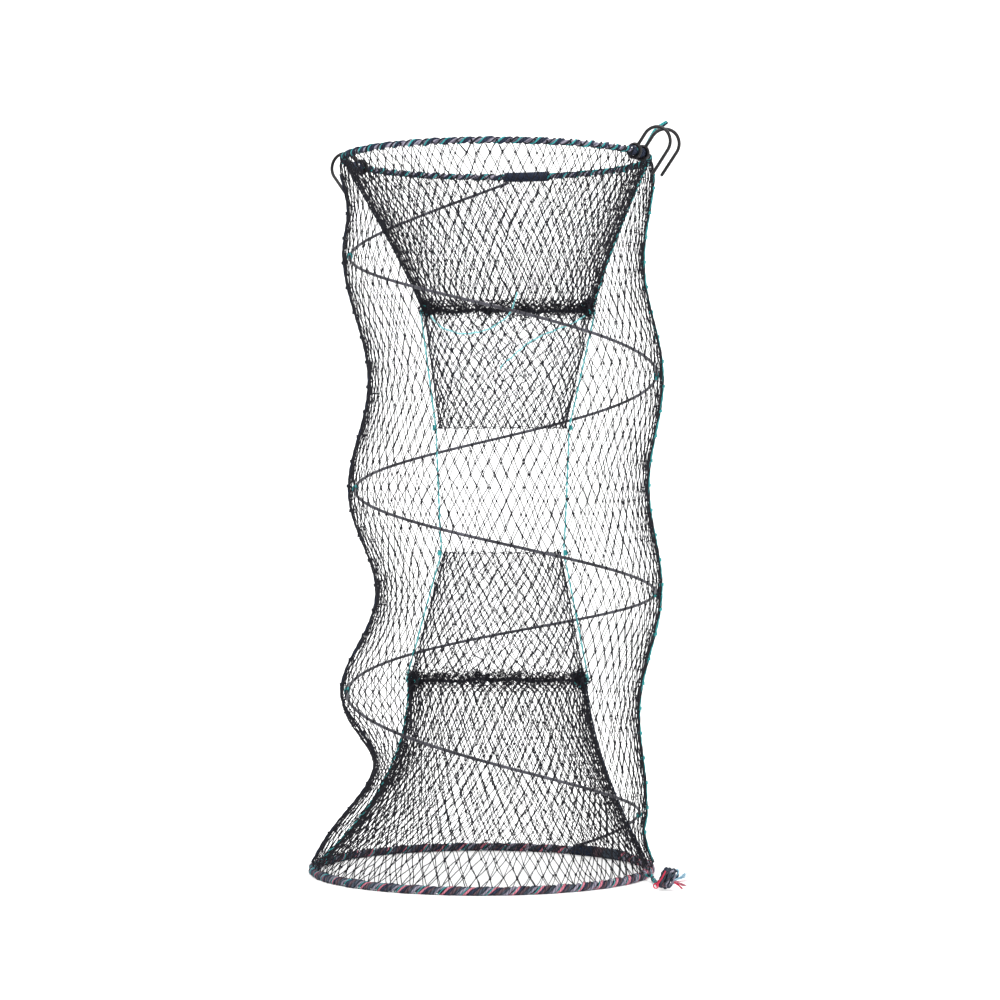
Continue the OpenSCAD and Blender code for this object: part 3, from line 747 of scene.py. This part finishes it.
for side, name in ((-1, "left"), (1, "right")):
    tight_cord(f"tension_{name}", even_points(tension_points(side), 19), 1.4 * TENSION_R,
               [CORD_AQUA, CORD_TEAL], replaces=[f"tension_cord_{name}"], lay=12 * MM)

# ---------------------------------------------------------------- corded rings


def ring_line(cx, z, r, start=0, end=360, count=720):
    turn = np.radians(np.linspace(start, end, count))
    return np.stack([cx + r * np.cos(turn), r * np.sin(turn), np.full(count, z)], 1)


CORE_OVER_WIRE = 0.4 * MM
STEPS_A_TURN = 14


def ring_winding(name, cx, z, ring_r, wrap_r, turns, bands, core, body, slot, node):
    """Strands wound round a ring over a core cord.

    bands: (material, place in the turn, radius, share by which it thickens to the right).
    """
    turn = np.linspace(0, 2 * np.pi, turns * STEPS_A_TURN + 1)
    core_r = RING_WIRE_R + CORE_OVER_WIRE
    coloured = [(long_tube(ring_line(cx, z, ring_r), core_r, 10), core)]
    for number, (material, place, strand_r, to_right) in enumerate(bands):
        slip = 0.5 * np.sin(turn * 5 + number) + 0.35 * np.sin(turn * 11 + 2 * number)
        wind = turn * turns + 2 * np.pi * place + 0.5 * slip
        out = wrap_r - strand_r * (1 + 0.3 * np.sin(turn * 17 + number))
        r = ring_r + out * np.cos(wind)
        line = np.stack([cx + r * np.cos(turn), r * np.sin(turn), z + out * np.sin(wind)], 1)
        thick = strand_r * (1 + 0.15 * np.sin(turn * 23 + 3 * number) + to_right * np.cos(turn))
        coloured.append((long_tube(line, thick, 7), material))
    piece(name, [(above_floor(parts), material) for parts, material in coloured], body, slot,
          [node])


ring_winding("top_rim", 0, TOP_Z, TOP_R, TOP_WRAP_R, 54,
             [(CORD_NAVY, 0, 0.85 * MM, 0), (CORD_NAVY, 0.13, 0.8 * MM, 0),
              (CORD_TEAL, 0.26, 0.55 * MM, 0), (CORD_BLACK, 0.55, 0.6 * MM, 0)],
             CORD_LILAC, "top_end", "navy_rope", "top_rim_wrap")
ring_winding("bottom_rim", BOTTOM_X, BOTTOM_Z, BOTTOM_R, BOTTOM_WRAP_R, 48,
             [(CORD_SLATE, 0, 1.2 * MM, -0.25), (CORD_BROWN, 0.17, 1.1 * MM, -0.2),
              (CORD_NAVY, 0.34, 1.1 * MM, -0.25), (CORD_PINK, 0.5, 0.85 * MM, 0.45),
              (CORD_TEAL, 0.62, 0.3 * MM, 0), (CORD_LILAC, 0.8, 1.0 * MM, 0.35)],
             CORD_SLATE, "base", "mixed_rope", "bottom_rim_wrap")


def whipping(cx, z, ring_r, wrap_r, start, end, cord_r, pitch):
    """A lashing round a corded ring, from one angle to another."""
    return turns_round(ring_line(cx, z, ring_r, start, end, 24), wrap_r - 0.2 * MM, cord_r, pitch)


# Where the coil's ends meet the rims: from, to and cord of each stretch of the lashing
TOP_LASHING = (-16, 2)
BOTTOM_LASHING = [(-22, -13, CORD_SLATE), (-13, -8, CORD_BROWN), (-8, 2, CORD_NAVY)]
piece("top_join_lashing",
      [(whipping(0, TOP_Z, TOP_R, TOP_WRAP_R, COIL_FIRST + TOP_LASHING[0],
                 COIL_FIRST + TOP_LASHING[1], cord_r=0.75 * MM, pitch=1.5 * MM), CORD_NAVY)],
      "top_end", "navy_rope", ["top_ring_lashing"])
bottom_join = COIL_LAST % 360
piece("bottom_join_lashing",
      [(above_floor(whipping(BOTTOM_X, BOTTOM_Z, BOTTOM_R, BOTTOM_WRAP_R, bottom_join + first,
                             bottom_join + last, cord_r=0.9 * MM, pitch=1.8 * MM)), shade)
       for first, last, shade in BOTTOM_LASHING],
      "base", "navy_rope", ["bottom_ring_lashing"])

# Degrees round the top ring, and how far from each hook its two lashings start and end
HOOK_PLACES = {"hook_left": 155, "hook_right": -20.5, "hook_front_right": -28}
HOOK_LASHING = (1.2, 3.2)
lashing_parts = []
for place in HOOK_PLACES.values():
    for side in (-1, 1):
        near, far = [place + side * step for step in HOOK_LASHING]
        lashing_parts.append(whipping(0, TOP_Z, TOP_R, TOP_WRAP_R, min(near, far),
                                      max(near, far), cord_r=0.65 * MM, pitch=1.3 * MM))
piece("hook_whippings", [(join_parts(lashing_parts), CORD_NAVY)], "top_end", "navy_rope",
      ["hook_lashings"])

# ---------------------------------------------------------------- throats, mouths and ties


def flat_loop_line(centre, full, d, count=160):
    """The middle line of a cord round a flat opening, from its outer size."""
    half_w = full.x / 2 - full.y / 2
    r = full.y / 2 - d / 2
    points = []
    for t in np.linspace(0, 1, count):
        turn = 2 * math.pi * t
        x = math.copysign(half_w, math.cos(turn)) if abs(math.cos(turn)) > 1e-9 else 0
        points.append([centre.x + x * min(1, abs(math.cos(turn)) * 1.6) + r * math.cos(turn),
                       r * math.sin(turn), centre.z])
    return points


END_SHARE, END_SPREAD = 0.3, 0.06


def tangle(centre, full, count, spread, twine_r, ends_only=False):
    """Short bent stretches of twine heaped along a throat's two walls, END_SHARE at its ends."""
    lines = []
    for _ in range(count):
        along = random.uniform(-1, 1)
        if ends_only or random.random() < END_SHARE:
            along = math.copysign(1 - abs(random.normal(0, END_SPREAD)), along)
        start = np.array([centre.x + along * (full.x / 2 - 1 * MM),
                          random.choice([-1, 1]) * (full.y / 2 - 1 * MM),
                          centre.z + spread * (0.35 + random.normal(0, 1))])
        bend = start + random.normal(0, 1, 3) * [1.8 * MM, 1.0 * MM, 1.6 * MM]
        lines.append([start, bend, bend + random.normal(0, 1, 3) * [1.6 * MM, 0.8 * MM, 1.6 * MM]])
    return short_tubes(lines, twine_r, 5)


THROAT_WAVE = 1.3 * MM
END_LOOP_TILTS = (-35, 20, 70)
END_LOOP_R, END_LOOP_HALF_HEIGHT = 2.1 * MM, 2.4 * MM


def throat(name, centre, full, body, gather_node, knot_node):
    """Gathered meshes round a throat: a cord, heaped twine over it, and a knot at each end."""
    line = np.array(smooth_path(flat_loop_line(centre, full, full.z), 1.2 * MM))
    line[:, 2] += THROAT_WAVE * np.sin(line[:, 0] / (7 * MM)) * np.sin(line[:, 0] / (16 * MM))
    piece(f"{name}_bunch",
          [(strands(line, cord_r=0.3 * full.z, count=3, lay=6 * MM), CORD_BLACK),
           (turns_round(line, inner_r=0.6 * MM, cord_r=0.4 * MM, pitch=3.1 * MM, corners=5),
            NET_BLACK),
           (tangle(centre, full, count=1300, spread=2.9 * MM, twine_r=0.32 * MM), NET_BLACK)],
          body, "dark_twine", [gather_node])
    coloured = []
    for side in (-1, 1):
        x = centre.x + side * full.x / 2
        for number, degrees in enumerate(END_LOOP_TILTS):
            tilt = math.radians(degrees)
            t = np.linspace(0, 2 * math.pi, 22)
            across = END_LOOP_R * np.cos(t)
            loop = np.stack([x + across * math.cos(tilt) - side * 0.8 * MM,
                             across * math.sin(tilt),
                             centre.z + END_LOOP_HALF_HEIGHT * np.sin(t)], 1)
            shade = CORD_TEAL if number else CORD_AQUA
            coloured.append((long_tube(loop, 0.6 * MM, 7), shade))
    ends = tangle(centre, full, count=26, spread=2.2 * MM, twine_r=0.35 * MM, ends_only=True)
    coloured.append((ends, CORD_TEAL))
    piece(f"{name}_end_knots", coloured, body, "teal_twine", [knot_node])


MOUTH_CORD_OUT = 2.6 * MM
MOUTH_WAVE = 0.8 * MM
MOUTH_KNOT_HALF_HEIGHT = 1.8 * MM


def mouth(name, centre, full, body, line_node, knot_node):
    """The last meshes of a sleeve, with a thin line through them and a knot at each corner."""
    line = np.array(flat_loop_line(centre, full, full.z))
    line[:, 2] += MOUTH_WAVE * np.sin(np.linspace(0, SLEEVE_COLUMNS * math.pi, len(line)))
    piece(f"{name}_thread", [(long_tube(smooth_path(line, 1 * MM), 0.26 * MM, 5), NET_GREY)],
          body, "dark_twine", [line_node])
    parts = []
    for side in (-1, 1):
        x = centre.x + side * (full.x / 2 + MOUTH_CORD_OUT)
        rod = [[x, 0, centre.z - MOUTH_KNOT_HALF_HEIGHT], [x, 0, centre.z],
               [x, 0, centre.z + MOUTH_KNOT_HALF_HEIGHT]]
        parts.append(turns_round(rod, inner_r=0.6 * MM, cord_r=0.6 * MM, pitch=1.1 * MM))
    piece(f"{name}_corner_knots", [(join_parts(parts), CORD_TEAL)], body, "teal_twine", [knot_node])


throat("top_throat", TOP_THROAT, TOP_THROAT_SIZE, "top_throat", "top_throat_gather",
       "top_throat_knots")
throat("bottom_throat", BOTTOM_THROAT, BOTTOM_THROAT_SIZE, "bottom_throat",
       "bottom_throat_gather", "bottom_throat_knots")
mouth("top_mouth", TOP_MOUTH, TOP_MOUTH_SIZE, "top_mouth", "top_mouth_line", "top_mouth_knots")
mouth("bottom_mouth", BOTTOM_MOUTH, BOTTOM_MOUTH_SIZE, "bottom_mouth", "bottom_mouth_line",
      "bottom_mouth_knots")

COIL_TIE_REACH = 1.6  # degrees to each side of the seam
tie_parts = []
for angle, _ in COIL_PATH[1:-1]:
    stretch = [coil_point(angle + step) for step in (-COIL_TIE_REACH, 0, COIL_TIE_REACH)]
    tie_parts.append(turns_round(stretch, COIL_WIRE_R, cord_r=0.5 * MM, pitch=1.05 * MM))
piece("coil_seam_ties", [(join_parts(tie_parts), CORD_TEAL)], "base", "teal_twine",
      ["coil_ties"], deforms=True)

# ---------------------------------------------------------------- cord ends at the rings

TOP_TAIL_ROUTE = np.array([
    (111, -31, 551), (114, -32, 554), (116, -33, 557), (118, -34, 560),
    (120, -35, 563), (123, -36, 566), (126, -36, 568), (129, -37, 570),
]) * MM
TOP_TAIL_R = 1.9 * MM
tight_cord("top_cord_end", TOP_TAIL_ROUTE, TOP_TAIL_R, [CORD_NAVY, CORD_TEAL], body="top_end",
           replaces=["top_tail_cord"], slot="navy_rope", deforms=False, lay=60 * MM)

BOTTOM_TAIL_ROUTE = np.array([
    (112, -46, 3), (114, -49, 4), (116, -52, 4), (117, -55, 3), (117, -59, 2), (118, -63, 2),
    (118, -67, 2), (118, -71, 2), (119, -75, 2), (119, -79, 2), (119, -82, 2), (120, -85, 2),
    (120, -88, 3), (121, -91, 4), (121, -94, 5), (121, -97, 5),
]) * MM
TAIL_R = 1.6 * MM


def hank_loop(centre, half_w, half_h, lean, swing, count=48):
    """An upright long loop, leaning sideways and swung round the vertical."""
    lean, swing = math.radians(lean), math.radians(swing)
    t = np.linspace(0, 2 * math.pi, count)
    across = half_w * np.cos(t) * math.cos(lean) + half_h * np.sin(t) * math.sin(lean)
    up = half_h * np.sin(t) * math.cos(lean) - half_w * np.cos(t) * math.sin(lean)
    return np.stack([centre[0] + across * math.cos(swing), centre[1] + across * math.sin(swing),
                     centre[2] + up], 1)


FRAY_SPLAY, FRAY_UNEVEN = 30, 2.5  # degrees, and millimetres up and down


def frayed(start, reach, heading, rise, count):
    """Loose fibres that splay from a cut end."""
    parts = []
    for _ in range(count):
        turn = math.radians(heading + random.uniform(-FRAY_SPLAY, FRAY_SPLAY))
        far = reach * random.uniform(0.7, 1.0)
        drop = rise + random.uniform(-FRAY_UNEVEN, FRAY_UNEVEN) * MM
        line = [start,
                start + [0.5 * far * math.cos(turn), 0.5 * far * math.sin(turn), 0.4 * drop],
                start + [far * math.cos(turn), far * math.sin(turn), drop]]
        path = smooth_path(line, 0.8 * MM)
        parts.append(long_tube(path, np.linspace(0.5, 0.2, len(path)) * MM, 6))
    return above_floor(join_parts(parts))


KNOT = np.array(middle("bottom_tail_knot"))
# Each loop: shift to the right, shift back, half width, half height, lean, swing and its strands
HANK = [
    (-3.4, 2.6, 1.9, 7.0, 18, 14, (CORD_SLATE, CORD_NAVY)),
    (-1.0, 0.0, 1.9, 7.2, 14, -10, (CORD_SLATE, CORD_SLATE)),
    (1.6, -2.2, 1.9, 6.8, 20, 12, (CORD_SLATE, CORD_LILAC)),
    (3.8, 1.6, 1.8, 6.2, 28, -14, (CORD_NAVY, CORD_PALE_BLUE)),
    (-2.2, -2.8, 1.7, 5.6, 22, 8, (CORD_SLATE, CORD_BROWN)),
]
hank = []
for shift, back, half_w, half_h, lean, swing, shades in HANK:
    loop = hank_loop(KNOT + [shift * MM, back * MM, 0], half_w * MM, half_h * MM, lean, swing)
    hank += [(above_floor(parts), shade)
             for parts, shade in laid_cord(loop, cord_r=1.3 * MM, shades=shades, lay=9 * MM)]
knot_piece = piece("bottom_cord_knot", hank, "base", "mixed_rope", ["bottom_tail_knot"])

# The red tie: two turns round the bunch, and a strand up its front from a small loop
TIE = np.array(middle("bottom_tail_tie"))
TIE_R, RED_LOOP_R = 2.3 * MM, 1.7 * MM
RED_LOOP = KNOT + np.array([-9.5, -4.5, -5]) * MM
RED_ROUTE = KNOT + np.array([(-9, -4.5, -5.3), (-7, -6, -1.8), (-4.5, -6.5, 2.2),
                             (-2.5, -6.2, 6.2)]) * MM
red_strand = smooth_path(RED_ROUTE, 0.8 * MM)
tie_piece = piece(
    "bottom_cord_tie",
    [(above_floor(long_tube(hank_loop(TIE + [0, shift * MM, 0], TIE_R, TIE_R, 0, 0),
                            0.5 * MM, 7)), CORD_RED) for shift in (-0.5, 0.5)]
    + [(long_tube(red_strand, 0.55 * MM, 7), CORD_RED),
       (above_floor(long_tube(hank_loop(RED_LOOP, RED_LOOP_R, RED_LOOP_R, 0, 0), 0.5 * MM, 7)),
        CORD_RED)],
    "base", "mixed_rope", ["bottom_tail_tie"])
# Each fray: its start above the bunch's middle, reach, heading, rise, fibres and material
FRAYS = [
    (-1, 11, -5, 4, 14, CORD_PALE_BLUE),
    (-2, 10, -8, -1, 11, CORD_PINK),
    (-3, 8, -12, -3, 7, CORD_RED),
]
fray_piece = piece(
    "bottom_cord_fray",
    [(frayed(KNOT + [4 * MM, -2 * MM, up * MM], reach * MM, heading, rise * MM, fibres), shade)
     for up, reach, heading, rise, fibres, shade in FRAYS],
    "base", "mixed_rope")

tail_path = smooth_path(BOTTOM_TAIL_ROUTE, 0.9 * MM)
tail_piece = piece("bottom_cord_end",
                   [(above_floor(parts), shade) for parts, shade in
                    laid_cord(tail_path, TAIL_R, [CORD_SLATE, CORD_SLATE, CORD_TEAL],
                              lay=8 * MM)],
                   "base", "mixed_rope", ["bottom_tail_cord"])

# ---------------------------------------------------------------- CAD nodes that stay in view



def finish_nodes(nodes, material):
    for node in nodes:
        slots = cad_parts[node].data.materials
        slots.clear()
        slots.append(material)


finish_nodes(HOOK_PLACES, HOOK_STEEL)
finish_nodes(("top_ring_wire", "bottom_ring_wire"), COIL_STEEL)

# ---------------------------------------------------------------- light and stage


STAGE_FRONT, STAGE_BACK = -4.0, 2.4
STAGE_CURVE_R, STAGE_TOP, STAGE_HALF_WIDTH = 0.8, 4.0, 5.0


def backdrop():
    """A pale floor that curves up into a wall far behind."""
    profile = [(STAGE_FRONT, 0.0), (STAGE_BACK, 0.0)]
    profile += [(STAGE_BACK + STAGE_CURVE_R * math.sin(t), STAGE_CURVE_R * (1 - math.cos(t)))
                for t in np.linspace(0.1, math.pi / 2, 12)]
    profile.append((STAGE_BACK + STAGE_CURVE_R, STAGE_TOP))
    verts = [(x, y, z) for y, z in profile for x in (-STAGE_HALF_WIDTH, STAGE_HALF_WIDTH)]
    faces = [(2 * k, 2 * k + 1, 2 * k + 3, 2 * k + 2) for k in range(len(profile) - 1)]
    mesh = bpy.data.meshes.new("stage_floor")
    mesh.from_pydata(verts, [], faces)
    mesh.materials.append(stage_material())
    floor = bpy.data.objects.new("stage_floor", mesh)
    bpy.context.collection.objects.link(floor)


def area_light(name, place, aim, width, watts):
    data = bpy.data.lights.new(name, "AREA")
    data.size = width
    data.energy = watts
    light = bpy.data.objects.new(name, data)
    light.location = place
    light.rotation_euler = (Vector(aim) - Vector(place)).to_track_quat("-Z", "Y").to_euler()
    bpy.context.collection.objects.link(light)


backdrop()
area_light("key", (-1.2, -1.8, 2.2), aim=(0, 0, 0.3), width=1.6, watts=45)
area_light("fill", (1.8, -1.4, 1.2), aim=(0, 0, 0.3), width=1.6, watts=22)
area_light("back_wash", (0, 1.2, 2.8), aim=(0, 2.4, 0.4), width=3.0, watts=60)
WORLD_STRENGTH = 1.05
world = bpy.data.worlds.new("world")
bpy.context.scene.world = world
bpy.context.scene.view_settings.view_transform = "Standard"
world.use_nodes = True
background = world.node_tree.nodes["Background"]
background.inputs[0].default_value = (1, 1, 1, 1)
background.inputs[1].default_value = WORLD_STRENGTH
